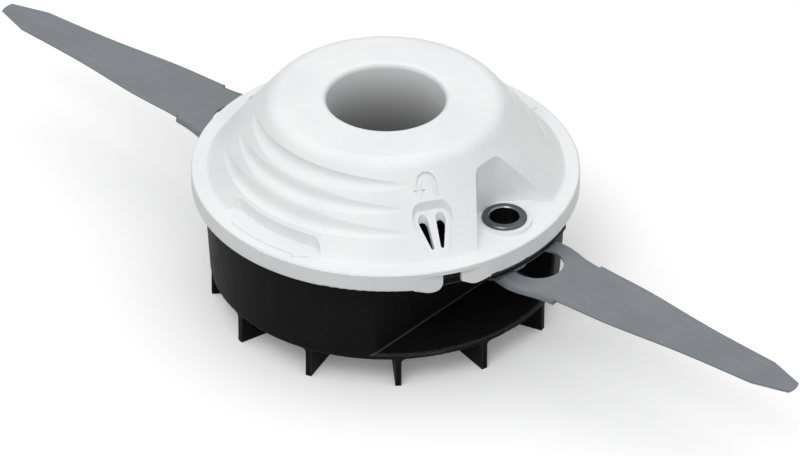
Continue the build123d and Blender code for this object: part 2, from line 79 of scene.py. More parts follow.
def colour_property(name, description, default):
    """A colour that the user can pick, in linear values."""
    return FloatVectorProperty(
        name=name, description=description, default=default, size=3, min=0.0, max=1.0, subtype="COLOR"
    )


def length_property(name, description, millimetres):
    """A length that the user can set, kept in metres."""
    return FloatProperty(
        name=name,
        description=description,
        default=millimetres * MM,
        precision=5,
        unit="LENGTH",
        subtype="DISTANCE",
    )


def angle_property(name, description, degrees):
    """An angle that the user can set, kept in radians."""
    return FloatProperty(name=name, description=description, default=radians(degrees), subtype="ANGLE")


def plain_property(name, description, default):
    """A plain number from 0 upwards."""
    return FloatProperty(name=name, description=description, default=default, min=0.0)


def share_property(name, description, default):
    """A plain share from 0 to 1."""
    return FloatProperty(
        name=name, description=description, default=default, min=0.0, max=1.0, subtype="FACTOR"
    )


class CapLook(bpy.types.PropertyGroup):
    """Finish of the white wear cap"""

    light: colour_property("Light nylon", "Colour of the white nylon", (0.84, 0.845, 0.85))
    dark: colour_property(
        "Clouded nylon", "Colour where the white nylon is slightly clouded", (0.80, 0.805, 0.815)
    )
    # Painted shade: inside the well radius the nylon is painted darker with depth, from the well top
    # down to the well foot.
    painted_well_shade: colour_property(
        "Nylon in the well", "Colour of the nylon at the foot of the well", (0.22, 0.221, 0.223)
    )
    well: length_property("Well radius", "Radius inside which the nylon darkens with depth", 13.4)
    painted_shade_top: length_property("Well top", "Level from which the well's nylon darkens", 56.0)
    painted_shade_foot: length_property("Well foot", "Level at which the well's nylon is darkest", 30.0)
    roughness: share_property("Roughness", "Mean roughness of the cap", 0.46)
    grain: length_property("Grain", "Size of the mould grain", 0.35)


class BaseLook(bpy.types.PropertyGroup):
    """Finish of the black fan base"""

    light: colour_property(
        "Rubbed nylon", "Colour where the black nylon is rubbed", (0.0135, 0.0137, 0.0148)
    )
    dark: colour_property("Black nylon", "Colour of the black nylon", (0.0078, 0.0079, 0.0087))
    # Painted highlight: the edge colour paints the black nylon's edges paler, as if round edges caught
    # the light; the fins get only a share of it.
    edge: colour_property("Rubbed edge", "Colour of the edges of the black nylon", (0.1, 0.101, 0.104))
    highlight_reach: length_property("Edge reach", "How far the rubbing reaches from an edge", 0.6)
    highlight_level: length_property("Edge level", "Level below which the edges are hardly rubbed", 7.2)
    fin_highlight: share_property("Fin wear", "Share of the rubbing that the edges of the fins show", 0.2)
    gloss: share_property("Gloss", "How much the black nylon reflects", 0.045)
    roughness: share_property("Roughness", "Mean roughness of the base", 0.52)
    grain: length_property("Grain", "Size of the mould grain", 0.30)


class BladeLook(bpy.types.PropertyGroup):
    """Finish of the grey blades"""

    light: colour_property(
        "Light grey", "Colour of the pale flow lines in the nylon", (0.192, 0.210, 0.233)
    )
    dark: colour_property("Dark grey", "Colour of the grey nylon", (0.158, 0.174, 0.194))
    roughness: share_property("Roughness", "Mean roughness of the blades", 0.33)
    flow: length_property("Flow lines", "Spacing of the flow lines along a blade", 0.9)


class SteelLook(bpy.types.PropertyGroup):
    """Finish of the steel pieces"""

    burnished: colour_property(
        "Burnished steel", "Colour of the pins' dark flanges", (0.125, 0.127, 0.132)
    )
    bright: colour_property("Bright steel", "Colour of the bevel at a pin's bore", (0.24, 0.24, 0.245))
    blued: colour_property(
        "Blued steel", "Colour of the bush, the washer and the nut", (0.11, 0.11, 0.115)
    )
    roughness: share_property("Roughness", "Mean roughness of the steel", 0.30)
    bore: length_property("Bore", "Radius of a pin's bore", 3.3)
    bore_bevel: length_property("Bore bevel", "Width of the bright bevel at a pin's bore", 0.25)


class ArrowSizes(bpy.types.PropertyGroup):
    """Sunk line arrows and raised spin arrows on the cap"""

    relief: length_property("Relief", "Height of the spin arrows and the line cutter over the cap", 0.45)
    sink: length_property("Sink", "Depth to which the spin arrows reach into the cap", 0.25)
    line_depth: length_property("Line depth", "Depth of the sunk line arrows", 0.7)
    arch_half: length_property("Arch half", "Half the width of a line arrow's arch", 1.85)
    arch_height: length_property("Arch height", "Height of a line arrow's arch", 2.65)
    arch_foot: length_property("Arch foot", "Distance of the arch's foot from the dome's corner", 6.6)
    head_start: length_property(
        "Head start", "Distance of the line arrow's head from the dome's corner", 6.95
    )
    far_leg: length_property("Far leg", "How much further the leg without a head reaches", 1.95)
    line_band: length_property("Line band", "Width of a line arrow's band at its ends", 1.05)
    arch_swell: share_property("Arch swell", "How much wider the band is at the top of its arch", 0.5)
    line_head_half: length_property("Line head half", "Half the width of a line arrow's head", 1.3)
    line_head_length: length_property("Line head length", "Length of a line arrow's head", 2.2)
    spin_band: length_property("Spin band", "Width of a spin arrow's band", 1.35)
    spin_head_half: length_property("Spin head half", "Half the width of a spin arrow's head", 1.6)
    spin_head_length: length_property("Spin head length", "Length of a spin arrow's head", 3.0)
    edge_round: length_property("Edge round", "Round on the edges of a spin arrow", 0.04)
    dome_corner: length_property("Dome corner", "Radius of the dome's upper corner", 25.4)
    dome_foot: length_property("Dome foot", "Radius of the dome's foot", 39.5)
    plateau: length_property("Plateau", "Level of the dome's top", 50.5)
    flange: length_property("Flange", "Level of the flange's top", 32.4)
    line_turn: angle_property("Line arrow place", "Place of the line arrows round the cap", -31.6)
    spin_turn: angle_property("Spin arrow place", "Place of the spin arrows round the cap", -91.2)
    spin_reach: angle_property("Spin arrow reach", "Half the angle that a spin arrow covers", 14.0)
    spin_radius: length_property("Spin arrow radius", "Radius of the spin arrows' band", 40.1)
    copies: IntProperty(
        name="Copies", description="How many of each arrow stand round the cap", default=2, min=1
    )


class StudioSettings(bpy.types.PropertyGroup):
    """Floor, light and camera"""

    floor_seen: colour_property("Floor seen", "Colour of the floor as it is seen", (0.92, 0.92, 0.92))
    floor_bounce: colour_property(
        "Floor bounce", "Colour of the floor as it lights the head", (0.21, 0.21, 0.21)
    )
    floor_glow: plain_property("Floor glow", "Light that is added where the floor is seen", 0.14)
    lamp: plain_property("Lamp", "Strength of the soft lamp", 2.62)
    lamp_spread: angle_property("Lamp spread", "How wide the soft lamp looks from the floor", 150)
    lamp_tilt: angle_property("Lamp tilt", "How far the lamp stands from overhead", 12)
    lamp_turn: angle_property("Lamp turn", "Side that the lamp stands on", -60)
    ambient: plain_property("Ambient", "Strength of the even light from all round", 0.10)
    key: plain_property("Key", "Strength of the small lamp at the front", 0.58)
    key_spread: angle_property("Key spread", "How wide the small lamp looks from the floor", 25)
    key_tilt: angle_property("Key tilt", "How far the small lamp stands from overhead", 38)
    key_turn: angle_property("Key turn", "Side that the small lamp stands on", -70)
    reflected: plain_property("Reflected", "Strength of the surroundings in metal and gloss", 0.25)
    azimuth: angle_property("Azimuth", "Direction that the camera looks in", 40.6)
    elevation: angle_property("Elevation", "How far the camera looks down", 33.70)
    roll: angle_property("Roll", "Tilt of the picture", 0.2325)
    distance: FloatProperty(
        name="Distance",
        description="Distance from the camera to the flange's centre",
        default=1.607,
        unit="LENGTH",
    )
    lens: plain_property("Lens", "Focal length in millimetres on a 36 mm frame", 327.3)


# Object and node helpers


def add_object(name, data):
    """A new object at the origin with the given data."""
    piece = bpy.data.objects.new(name, data)
    bpy.context.scene.collection.objects.link(piece)
    return piece


def put(tree, kind, inputs=None, **settings):
    """A new node with its settings and its unlinked inputs filled in."""
    node = tree.nodes.new(kind)
    for name, value in settings.items():
        setattr(node, name, value)
    for name, value in (inputs or {}).items():
        node.inputs[name].default_value = value
    return node


def sums(tree, operation, first, second=None):
    """A Math node's output, from sockets or plain numbers."""
    node = put(tree, "ShaderNodeMath", operation=operation)
    for slot, value in zip(node.inputs, (first, second)):
        if isinstance(value, bpy.types.NodeSocket):
            tree.links.new(value, slot)
        elif value is not None:
            slot.default_value = value
    return node.outputs[0]


def add_socket(tree, name, direction, kind, default=None, low=None, high=None):
    """A named input or output of a node group."""
    socket = tree.interface.new_socket(name=name, in_out=direction, socket_type=kind)
    if default is not None:
        socket.default_value = default
    if low is not None:
        socket.min_value = low
    if high is not None:
        socket.max_value = high


# Shared surface effects


def moulded_surface_group():
    """Fine mould grain with slow clouding, for all the nylon pieces."""
    tree = bpy.data.node_groups.new("Moulded surface", "ShaderNodeTree")
    add_socket(tree, "Grain Scale", "INPUT", "NodeSocketFloat", 2000.0)
    add_socket(tree, "Cloud Scale", "INPUT", "NodeSocketFloat", 60.0)
    add_socket(tree, "Roughness", "INPUT", "NodeSocketFloat", 0.45, 0.0, 1.0)
    add_socket(tree, "Roughness Spread", "INPUT", "NodeSocketFloat", 0.08, 0.0, 1.0)
    add_socket(tree, "Height", "OUTPUT", "NodeSocketFloat")
    add_socket(tree, "Roughness", "OUTPUT", "NodeSocketFloat")
    add_socket(tree, "Cloud", "OUTPUT", "NodeSocketFloat")
    given = put(tree, "NodeGroupInput")
    result = put(tree, "NodeGroupOutput")
    place = put(tree, "ShaderNodeTexCoord")
    grain = put(tree, "ShaderNodeTexNoise", {"Detail": 3.0, "Roughness": 0.6})
    cloud = put(tree, "ShaderNodeTexNoise", {"Detail": 4.0, "Roughness": 0.55, "Distortion": 0.4})
    tree.links.new(place.outputs["Object"], grain.inputs["Vector"])
    tree.links.new(place.outputs["Object"], cloud.inputs["Vector"])
    tree.links.new(given.outputs["Grain Scale"], grain.inputs["Scale"])
    tree.links.new(given.outputs["Cloud Scale"], cloud.inputs["Scale"])
    spread = given.outputs["Roughness Spread"]
    slow = sums(tree, "MULTIPLY", sums(tree, "SUBTRACT", cloud.outputs[0], 0.5), spread)
    fine = sums(tree, "MULTIPLY", sums(tree, "SUBTRACT", grain.outputs[0], 0.5), spread)
    both = sums(tree, "ADD", slow, fine)
    tree.links.new(sums(tree, "ADD", both, given.outputs["Roughness"]), result.inputs["Roughness"])
    tree.links.new(grain.outputs[0], result.inputs["Height"])
    tree.links.new(cloud.outputs[0], result.inputs["Cloud"])
    return tree


def streak_group():
    """Long thin streaks along one direction: flow lines in the blades and rubbing marks on the base."""
    tree = bpy.data.node_groups.new("Streaks", "ShaderNodeTree")
    add_socket(tree, "Stretch", "INPUT", "NodeSocketVector", (1.0, 1.0, 1.0))
    add_socket(tree, "Scale", "INPUT", "NodeSocketFloat", 500.0)
    add_socket(tree, "Threshold", "INPUT", "NodeSocketFloat", 0.5, 0.0, 1.0)
    add_socket(tree, "Mask", "OUTPUT", "NodeSocketFloat")
    add_socket(tree, "Height", "OUTPUT", "NodeSocketFloat")
    given = put(tree, "NodeGroupInput")
    result = put(tree, "NodeGroupOutput")
    place = put(tree, "ShaderNodeTexCoord")
    stretched = put(tree, "ShaderNodeVectorMath", operation="MULTIPLY")
    noise = put(tree, "ShaderNodeTexNoise", {"Detail": 3.0, "Roughness": 0.6, "Distortion": 0.2})
    tree.links.new(place.outputs["Object"], stretched.inputs[0])
    tree.links.new(given.outputs["Stretch"], stretched.inputs[1])
    tree.links.new(stretched.outputs[0], noise.inputs["Vector"])
    tree.links.new(given.outputs["Scale"], noise.inputs["Scale"])
    over = sums(tree, "SUBTRACT", noise.outputs[0], given.outputs["Threshold"])
    mask = put(tree, "ShaderNodeClamp")
    contrast = 5.0
    tree.links.new(sums(tree, "MULTIPLY", over, contrast), mask.inputs["Value"])
    tree.links.new(mask.outputs[0], result.inputs["Mask"])
    tree.links.new(noise.outputs[0], result.inputs["Height"])
    return tree


def edge_highlight_group():
    """Mask of a surface's outer and inner edges, where a pale highlight is painted on a moulding."""
    tree = bpy.data.node_groups.new("Painted edge highlight", "ShaderNodeTree")
    add_socket(tree, "Reach", "INPUT", "NodeSocketFloat", 0.0004)
    add_socket(tree, "Amount", "INPUT", "NodeSocketFloat", 1.0, 0.0, 1.0)
    add_socket(tree, "Mask", "OUTPUT", "NodeSocketFloat")
    given = put(tree, "NodeGroupInput")
    result = put(tree, "NodeGroupOutput")
    softened = put(tree, "ShaderNodeBevel", samples=6)
    tree.links.new(given.outputs["Reach"], softened.inputs["Radius"])
    surface = put(tree, "ShaderNodeNewGeometry")
    agreement = put(tree, "ShaderNodeVectorMath", operation="DOT_PRODUCT")
    tree.links.new(softened.outputs["Normal"], agreement.inputs[0])
    tree.links.new(surface.outputs["Normal"], agreement.inputs[1])
    agrees_on_flat = 0.996
    agrees_on_edge = 0.955
    edge = stretch_factor(tree, agreement.outputs["Value"], agrees_on_flat, agrees_on_edge)
    tree.links.new(sums(tree, "MULTIPLY", edge, given.outputs["Amount"]), result.inputs["Mask"])
    return tree


def turned_surface_group():
    """Fine rings round an upright axis, as a lathe leaves them, with the radius and the level."""
    tree = bpy.data.node_groups.new("Turned surface", "ShaderNodeTree")
    add_socket(tree, "Centre", "INPUT", "NodeSocketVector", (0.0, 0.0, 0.0))
    add_socket(tree, "Rings", "INPUT", "NodeSocketFloat", 9000.0)
    add_socket(tree, "Roughness", "INPUT", "NodeSocketFloat", 0.3, 0.0, 1.0)
    add_socket(tree, "Height", "OUTPUT", "NodeSocketFloat")
    add_socket(tree, "Roughness", "OUTPUT", "NodeSocketFloat")
    add_socket(tree, "Radius", "OUTPUT", "NodeSocketFloat")
    add_socket(tree, "Level", "OUTPUT", "NodeSocketFloat")
    given = put(tree, "NodeGroupInput")
    result = put(tree, "NodeGroupOutput")
    place = put(tree, "ShaderNodeTexCoord")
    offset = put(tree, "ShaderNodeVectorMath", operation="SUBTRACT")
    tree.links.new(place.outputs["Object"], offset.inputs[0])
    tree.links.new(given.outputs["Centre"], offset.inputs[1])
    parts = put(tree, "ShaderNodeSeparateXYZ")
    tree.links.new(offset.outputs[0], parts.inputs[0])
    flat = put(tree, "ShaderNodeCombineXYZ")
    tree.links.new(parts.outputs["X"], flat.inputs["X"])
    tree.links.new(parts.outputs["Y"], flat.inputs["Y"])
    radius = put(tree, "ShaderNodeVectorMath", operation="LENGTH")
    tree.links.new(flat.outputs[0], radius.inputs[0])
    line = put(tree, "ShaderNodeCombineXYZ")
    tree.links.new(radius.outputs["Value"], line.inputs["X"])
    tree.links.new(parts.outputs["Z"], line.inputs["Y"])
    noise = put(tree, "ShaderNodeTexNoise", {"Detail": 2.0, "Roughness": 0.7})
    tree.links.new(line.outputs[0], noise.inputs["Vector"])
    tree.links.new(given.outputs["Rings"], noise.inputs["Scale"])
    roughness_spread = 0.25
    spread = sums(tree, "MULTIPLY", sums(tree, "SUBTRACT", noise.outputs[0], 0.5), roughness_spread)
    tree.links.new(sums(tree, "ADD", spread, given.outputs["Roughness"]), result.inputs["Roughness"])
    tree.links.new(noise.outputs[0], result.inputs["Height"])
    tree.links.new(radius.outputs["Value"], result.inputs["Radius"])
    tree.links.new(parts.outputs["Z"], result.inputs["Level"])
    return tree


# Materials


def new_material(name):
    """A material with a Principled BSDF, and its tree and shader."""
    material = bpy.data.materials.new(name)
    material.use_nodes = True
    tree = material.node_tree
    return material, tree, tree.nodes["Principled BSDF"]


def place_group(tree, group, **inputs):
    """A shared group placed in a material with its own values."""
    node = put(tree, "ShaderNodeGroup", node_tree=group)
    for name, value in inputs.items():
        node.inputs[name.replace("_", " ")].default_value = value
    return node


def blend_colours(tree, factor, first, second):
    """Output of a colour mix that follows a factor socket."""
    mix = put(tree, "ShaderNodeMix", data_type="RGBA")
    tree.links.new(factor, mix.inputs["Factor"])
    mix.inputs["A"].default_value = (*first, 1.0)
    mix.inputs["B"].default_value = (*second, 1.0)
    return mix.outputs["Result"]


def stretch_factor(tree, value, low, high):
    """A value stretched so that low becomes 0 and high becomes 1."""
    ends = {"From Min": low, "From Max": high}
    span = put(tree, "ShaderNodeMapRange", ends, interpolation_type="SMOOTHSTEP")
    tree.links.new(value, span.inputs["Value"])
    return span.outputs["Result"]


def clouding(tree, surface, reach):
    """A moulded surface's clouding as a factor: the smaller the reach, the harder the patches."""
    return stretch_factor(tree, surface.outputs["Cloud"], 0.5 - reach, 0.5 + reach)


def add_bump(tree, shader, height, distance, strength):
    """Bump from a height socket on the shader's normal."""
    bump = put(tree, "ShaderNodeBump", {"Distance": distance, "Strength": strength})
    tree.links.new(height, bump.inputs["Height"])
    tree.links.new(bump.outputs["Normal"], shader.inputs["Normal"])


def cap_nylon(look, moulded, turned):
    """White nylon of the wear cap, with shade painted darker down its well."""
    material, tree, shader = new_material("White nylon")
    surface = place_group(
        tree,
        moulded,
        Grain_Scale=1.0 / look.grain,
        Cloud_Scale=55.0,
        Roughness=look.roughness,
        Roughness_Spread=0.12,
    )
    white = blend_colours(tree, clouding(tree, surface, reach=0.15), look.light, look.dark)
    # Painted shade: inside the well's radius the colour darkens from the well top down to its foot.
    axis = place_group(tree, turned)
    fade = 0.3 * MM
    inside = stretch_factor(tree, axis.outputs["Radius"], look.well + fade, look.well)
    depth = stretch_factor(tree, axis.outputs["Level"], look.painted_shade_top, look.painted_shade_foot)
    painted_shade_mix = put(tree, "ShaderNodeMix", {"B": (*look.painted_well_shade, 1.0)}, data_type="RGBA")
    tree.links.new(sums(tree, "MULTIPLY", inside, depth), painted_shade_mix.inputs["Factor"])
    tree.links.new(white, painted_shade_mix.inputs["A"])
    tree.links.new(painted_shade_mix.outputs["Result"], shader.inputs["Base Color"])
    tree.links.new(surface.outputs["Roughness"], shader.inputs["Roughness"])
    add_bump(tree, shader, surface.outputs["Height"], distance=0.02 * MM, strength=0.5)
    shader.inputs["IOR"].default_value = NYLON_IOR
    return material


def base_nylon(look, moulded, streaks, edges, turned):
    """Black nylon of the fan base, rubbed a little paler in streaks, with a painted highlight on the
    edges above its fins.
    """
    material, tree, shader = new_material("Black nylon")
    surface = place_group(
        tree,
        moulded,
        Grain_Scale=1.0 / look.grain,
        Cloud_Scale=80.0,
        Roughness=look.roughness,
        Roughness_Spread=0.16,
    )
    rubbed = place_group(tree, streaks, Stretch=(1.0, 1.0, 0.12), Scale=420.0, Threshold=0.56)
    # Painted highlight on the edges: full above the fins, only a share of it on them.
    painted_edges = place_group(tree, edges, Reach=look.highlight_reach)
    axis = place_group(tree, turned)
    fade = 0.5 * MM
    level = axis.outputs["Level"]
    above_fins = stretch_factor(tree, level, look.highlight_level - fade, look.highlight_level + fade)
    more_highlight = sums(tree, "MULTIPLY", above_fins, 1.0 - look.fin_highlight)
    tree.links.new(sums(tree, "ADD", more_highlight, look.fin_highlight), painted_edges.inputs["Amount"])
    streaked = blend_colours(tree, rubbed.outputs["Mask"], look.dark, look.light)
    coloured = put(tree, "ShaderNodeMix", {"B": (*look.edge, 1.0)}, data_type="RGBA")
    tree.links.new(painted_edges.outputs["Mask"], coloured.inputs["Factor"])
    tree.links.new(streaked, coloured.inputs["A"])
    tree.links.new(coloured.outputs["Result"], shader.inputs["Base Color"])
    tree.links.new(surface.outputs["Roughness"], shader.inputs["Roughness"])
    add_bump(tree, shader, surface.outputs["Height"], distance=0.03 * MM, strength=0.5)
    shader.inputs["IOR"].default_value = NYLON_IOR
    shader.inputs["Specular IOR Level"].default_value = look.gloss
    return material


def blade_nylon(look, moulded, streaks):
    """Grey nylon of the blades, with flow lines along the arm."""
    material, tree, shader = new_material("Grey nylon")
    surface = place_group(
        tree,
        moulded,
        Grain_Scale=3200.0,
        Cloud_Scale=70.0,
        Roughness=look.roughness,
        Roughness_Spread=0.14,
    )
    flow = place_group(tree, streaks, Stretch=(0.045, 1.0, 0.5), Scale=1.0 / look.flow, Threshold=0.5)
    line_share = 0.55
    lines = sums(tree, "MULTIPLY", flow.outputs["Mask"], line_share)
    clouds = sums(tree, "MULTIPLY", clouding(tree, surface, reach=0.15), 1.0 - line_share)
    mixed = blend_colours(tree, sums(tree, "ADD", lines, clouds), look.dark, look.light)
    tree.links.new(mixed, shader.inputs["Base Color"])
    tree.links.new(surface.outputs["Roughness"], shader.inputs["Roughness"])
    flow_share = 0.6
    flow_height = sums(tree, "MULTIPLY", flow.outputs["Height"], flow_share)
    height = sums(tree, "ADD", surface.outputs["Height"], flow_height)
    add_bump(tree, shader, height, distance=0.025 * MM, strength=0.5)
    shader.inputs["IOR"].default_value = NYLON_IOR
    return material


def pin_steel(name, look, turned, centre):
    """Burnished steel of a pivot pin, bright on the bevel at its bore."""
    material, tree, shader = new_material(name)
    surface = place_group(tree, turned, Centre=centre, Rings=7000.0, Roughness=look.roughness)
    radius = surface.outputs["Radius"]
    edge = look.bore + look.bore_bevel
    inner_fade = (0.01 * MM, 0.04 * MM)
    outer_fade = (0.08 * MM, -0.02 * MM)
    past_bore = stretch_factor(tree, radius, *(look.bore + reach for reach in inner_fade))
    within_edge = stretch_factor(tree, radius, *(edge + reach for reach in outer_fade))
    bevel = sums(tree, "MULTIPLY", past_bore, within_edge)
    tree.links.new(blend_colours(tree, bevel, look.burnished, look.bright), shader.inputs["Base Color"])
    tree.links.new(surface.outputs["Roughness"], shader.inputs["Roughness"])
    add_bump(tree, shader, surface.outputs["Height"], distance=0.01 * MM, strength=0.4)
    shader.inputs["Metallic"].default_value = 1.0
    return material


def hub_steel(look, turned, moulded):
    """Blued steel of the bush, the washer and the nut, a little clouded."""
    material, tree, shader = new_material("Blued steel")
    rougher = 0.05
    surface = place_group(tree, turned, Rings=5000.0, Roughness=look.roughness + rougher)
    dull = place_group(tree, moulded, Grain_Scale=2500.0, Cloud_Scale=260.0)
    shade = 0.72
    darker = [channel * shade for channel in look.blued]
    clouds = clouding(tree, dull, reach=0.2)
    tree.links.new(blend_colours(tree, clouds, look.blued, darker), shader.inputs["Base Color"])
    tree.links.new(surface.outputs["Roughness"], shader.inputs["Roughness"])
    add_bump(tree, shader, surface.outputs["Height"], distance=0.01 * MM, strength=0.4)
    shader.inputs["Metallic"].default_value = 1.0
    return material


def give_material(node_name, material):
    """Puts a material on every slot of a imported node."""
    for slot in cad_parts[node_name].material_slots:
        slot.material = material


# Arrows


def wrap_tree():
    """Geometry nodes that turn a flat outline into closed solid copies, wrapped round a cone."""
    tree = bpy.data.node_groups.new("Wrapped arrow", "GeometryNodeTree")
    add_socket(tree, "Outline", "INPUT", "NodeSocketGeometry")
    add_socket(tree, "Start Radius", "INPUT", "NodeSocketFloat", 0.03)
    add_socket(tree, "Start Level", "INPUT", "NodeSocketFloat", 0.03)
    add_socket(tree, "Slope", "INPUT", "NodeSocketFloat", 0.0)
    add_socket(tree, "Turn", "INPUT", "NodeSocketFloat", 0.0)
    add_socket(tree, "Relief", "INPUT", "NodeSocketFloat", 0.0003)
    add_socket(tree, "Sink", "INPUT", "NodeSocketFloat", 0.0002)
    add_socket(tree, "Copies", "INPUT", "NodeSocketInt", 2)
    add_socket(tree, "Material", "INPUT", "NodeSocketMaterial")
    add_socket(tree, "Arrows", "OUTPUT", "NodeSocketGeometry")
    given = put(tree, "NodeGroupInput")
    result = put(tree, "NodeGroupOutput")

    fill = put(tree, "GeometryNodeFillCurve", mode="TRIANGLES")
    tree.links.new(given.outputs["Outline"], fill.inputs["Curve"])
    upwards = put(tree, "ShaderNodeCombineXYZ")
    height = sums(tree, "ADD", given.outputs["Relief"], given.outputs["Sink"])
    tree.links.new(height, upwards.inputs["Z"])
    raise_faces = put(tree, "GeometryNodeExtrudeMesh", {"Individual": False}, mode="FACES")
    tree.links.new(fill.outputs[0], raise_faces.inputs["Mesh"])
    tree.links.new(upwards.outputs[0], raise_faces.inputs["Offset"])
    underside = put(tree, "GeometryNodeFlipFaces")
    tree.links.new(fill.outputs[0], underside.inputs["Mesh"])
    closed = put(tree, "GeometryNodeJoinGeometry")
    tree.links.new(raise_faces.outputs["Mesh"], closed.inputs[0])
    tree.links.new(underside.outputs[0], closed.inputs[0])
    welded = put(tree, "GeometryNodeMergeByDistance", {"Distance": 0.001 * MM})
    tree.links.new(closed.outputs[0], welded.inputs["Geometry"])

    spot = put(tree, "GeometryNodeInputPosition")
    flat = put(tree, "ShaderNodeSeparateXYZ")
    tree.links.new(spot.outputs[0], flat.inputs[0])
    above = sums(tree, "SUBTRACT", flat.outputs["Z"], given.outputs["Sink"])
    slope_cos = sums(tree, "COSINE", given.outputs["Slope"])
    slope_sin = sums(tree, "SINE", given.outputs["Slope"])
    outwards = sums(tree, "MULTIPLY", flat.outputs["Y"], slope_cos)
    surface_radius = sums(tree, "ADD", given.outputs["Start Radius"], outwards)
    radius = sums(tree, "ADD", surface_radius, sums(tree, "MULTIPLY", above, slope_sin))
    down = sums(tree, "MULTIPLY", flat.outputs["Y"], slope_sin)
    lifted = sums(tree, "ADD", given.outputs["Start Level"], sums(tree, "MULTIPLY", above, slope_cos))
    level = sums(tree, "SUBTRACT", lifted, down)
    round_cone = sums(tree, "DIVIDE", flat.outputs["X"], surface_radius)
    angle = sums(tree, "ADD", given.outputs["Turn"], round_cone)
    wrapped = put(tree, "ShaderNodeCombineXYZ")
    tree.links.new(sums(tree, "MULTIPLY", radius, sums(tree, "COSINE", angle)), wrapped.inputs["X"])
    tree.links.new(sums(tree, "MULTIPLY", radius, sums(tree, "SINE", angle)), wrapped.inputs["Y"])
    tree.links.new(level, wrapped.inputs["Z"])
    moved = put(tree, "GeometryNodeSetPosition")
    tree.links.new(welded.outputs[0], moved.inputs["Geometry"])
    tree.links.new(wrapped.outputs[0], moved.inputs["Position"])

    spots = put(tree, "GeometryNodePoints")
    tree.links.new(given.outputs["Copies"], spots.inputs["Count"])
    index = put(tree, "GeometryNodeInputIndex")
    step = sums(tree, "DIVIDE", 2 * pi, given.outputs["Copies"])
    spin = put(tree, "ShaderNodeCombineXYZ")
    tree.links.new(sums(tree, "MULTIPLY", index.outputs[0], step), spin.inputs["Z"])
    instances = put(tree, "GeometryNodeInstanceOnPoints")
    tree.links.new(spots.outputs[0], instances.inputs["Points"])
    tree.links.new(moved.outputs[0], instances.inputs["Instance"])
    tree.links.new(spin.outputs[0], instances.inputs["Rotation"])
    real = put(tree, "GeometryNodeRealizeInstances")
    tree.links.new(instances.outputs[0], real.inputs[0])
    painted = put(tree, "GeometryNodeSetMaterial")
    tree.links.new(real.outputs[0], painted.inputs["Geometry"])
    tree.links.new(given.outputs["Material"], painted.inputs["Material"])
    tree.links.new(painted.outputs[0], result.inputs["Arrows"])
    return tree


def band_outline(middle, widths, head_half, head_length):
    """Closed outline of an arrow: a band along the middle points, with a width at each, and a head."""
    left, right = [], []
    for number, (spot, width) in enumerate(zip(middle, widths)):
        before = middle[max(number - 1, 0)]
        after = middle[min(number + 1, len(middle) - 1)]
        along = (after - before).normalized()
        across = Vector((-along.y, along.x)) * width / 2
        left.append(spot + across)
        right.append(spot - across)
    along = (middle[-1] - middle[-2]).normalized()
    across = Vector((-along.y, along.x))
    head = [
        middle[-1] + across * head_half,
        middle[-1] + along * head_length,
        middle[-1] - across * head_half,
    ]
    return left + head + right[::-1]


def outline_object(name, outline):
    """A flat closed curve from outline points."""
    curve = bpy.data.curves.new(name, "CURVE")
    curve.dimensions = "2D"
    curve.fill_mode = "NONE"
    spline = curve.splines.new("POLY")
    spline.points.add(len(outline) - 1)
    for point, spot in zip(spline.points, outline):
        point.co = (spot.x, spot.y, 0.0, 1.0)
    spline.use_cyclic_u = True
    return add_object(name, curve)


def plain_mesh(piece, name):
    """The mesh that a piece's modifiers make of it."""
    bpy.context.view_layer.update()
    evaluated = piece.evaluated_get(bpy.context.evaluated_depsgraph_get())
    mesh = bpy.data.meshes.new_from_object(evaluated)
    mesh.name = name
    return mesh


def point_outwards(mesh):
    """Splits a closed mesh into triangles that point outwards, and drops empty material slots."""
    shell = bmesh.new()
    shell.from_mesh(mesh)
    bmesh.ops.triangulate(shell, faces=shell.faces)
    bmesh.ops.recalc_face_normals(shell, faces=shell.faces)
    shell.to_mesh(mesh)
    shell.free()
    while len(mesh.materials) > 1 and mesh.materials[0] is None:
        mesh.materials.pop(index=0)


def run_tree(source, tree, values, name):
    """Runs a tree on an object and keeps only the plain mesh that comes out."""
    modifier = source.modifiers.new("Shape", "NODES")
    modifier.node_group = tree
    for item in tree.interface.items_tree:
        if item.item_type == "SOCKET" and item.in_out == "INPUT" and item.name in values:
            modifier[item.identifier] = values[item.name]
    mesh = plain_mesh(source, name)
    point_outwards(mesh)
    bpy.data.objects.remove(source)
    return add_object(name, mesh)


def wrap_arrows(name, outline, sizes, place):
    """Solid copies of a flat arrow at their place on the cap."""
    values = {
        "Relief": sizes.relief,
        "Copies": sizes.copies,
        "Material": bpy.data.materials["White nylon"],
        **place,
    }
    (tree,) = shared_groups("Wrapped arrow")
    return run_tree(outline_object(name, outline), tree, values, name)


def keep_result(piece):
    """Puts what a piece's modifiers make in place of its mesh, and takes the modifiers away."""
    result = plain_mesh(piece, piece.name)
    piece.modifiers.clear()
    piece.data = result


def cut_copy(node_name, cutter, name):
    """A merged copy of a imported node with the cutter's shape taken out of it. The cutter goes."""
    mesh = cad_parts[node_name].data.copy()
    if mesh.has_custom_normals:
        mesh.attributes.remove(mesh.attributes["custom_normal"])
    loose = bmesh.new()
    loose.from_mesh(mesh)
    bmesh.ops.remove_doubles(loose, verts=loose.verts, dist=MERGE_REACH)
    loose.to_mesh(mesh)
    loose.free()
    piece = add_object(name, mesh)
    cut = piece.modifiers.new("Cut", "BOOLEAN")
    cut.operation = "DIFFERENCE"
    cut.solver = "EXACT"
    cut.object = cutter
    keep_result(piece)
    bpy.data.objects.remove(cutter)
    piece.data.shade_smooth()
    piece.data.set_sharp_from_angle(angle=SHARP_ANGLE)
    shading = piece.modifiers.new("Flat faces first", "WEIGHTED_NORMAL")
    shading.keep_sharp = True
    keep_result(piece)
    return piece


def round_edges(piece, width):
    """A small live bevel on a finished piece."""
    bevel = piece.modifiers.new("Soft edge", "BEVEL")
    bevel.width = width
    bevel.segments = 2
    bevel.limit_method = "ANGLE"
    bevel.angle_limit = BEVEL_ANGLE


# Shared groups by name


